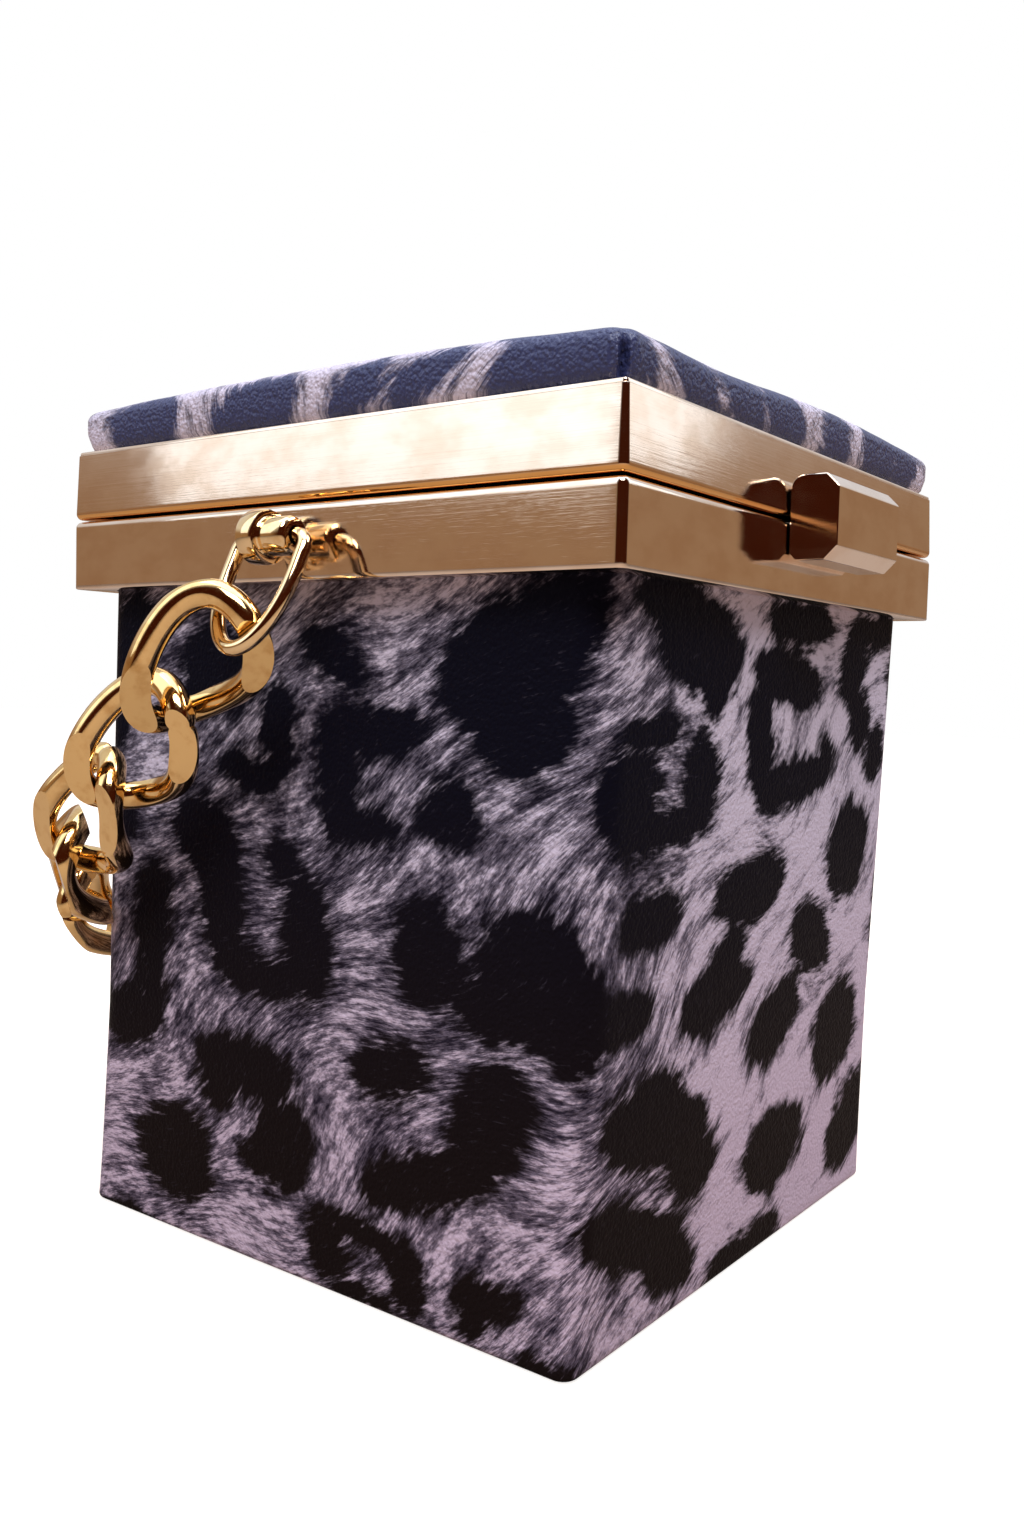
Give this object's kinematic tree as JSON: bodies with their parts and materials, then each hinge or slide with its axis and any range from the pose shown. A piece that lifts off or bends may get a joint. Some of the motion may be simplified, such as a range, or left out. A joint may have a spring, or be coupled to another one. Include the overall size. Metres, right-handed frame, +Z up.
{
  "type": "box bag",
  "caption": "Square box bag with a padded hinged lid, a two-part metal frame, a bar clasp on the front and a curb chain between two side lugs.",
  "frame": {"origin": "middle of the flat base", "axes": "+Z up, -Y is the front with the clasp, the chain's lugs are at -X and +X"},
  "size_m": [0.1847, 0.1714, 0.1773],
  "materials": {
    "printed_cover": "grained, printed with a dark spotted fur pattern",
    "pale_gold": "satin, fine brushing along the rails",
    "warm_gold": "polished, ground flat faces",
    "dark_magnet": "plain"
  },
  "bodies": {
    "bag": {"body_shell": "printed_cover", "lower_frame": "pale_gold", "hinge_pin": "pale_gold", "chain_lug_left": "warm_gold", "chain_lug_right": "warm_gold", "chain_ring_left": "warm_gold", "chain_ring_right": "warm_gold", "chain_link_01": "warm_gold", "chain_link_02": "warm_gold", "chain_link_03": "warm_gold", "chain_link_04": "warm_gold", "chain_link_05": "warm_gold", "chain_link_06": "warm_gold", "chain_link_07": "warm_gold", "chain_link_08": "warm_gold", "chain_link_09": "warm_gold", "chain_link_10": "warm_gold", "chain_link_11": "warm_gold", "chain_link_12": "warm_gold", "chain_link_13": "warm_gold", "chain_link_14": "warm_gold"},
    "lid": {"upper_frame": "pale_gold", "lid_pad": "printed_cover"},
    "clasp": {"clasp_lever": "pale_gold", "clasp_pin": "pale_gold", "clasp_magnet": "dark_magnet"}
  },
  "joints": [
    {"name": "lid_hinge", "type": "hinge", "parent": "bag", "child": "lid", "pos_m": [0, 0.0733, 0.1497], "axis": [-1, 0, 0], "range_deg": [0, 95]},
    {"name": "clasp_hinge", "type": "hinge", "parent": "lid", "child": "clasp", "pos_m": [0, -0.073, 0.1551], "axis": [-1, 0, 0], "range_deg": [0, 55]}
  ]
}
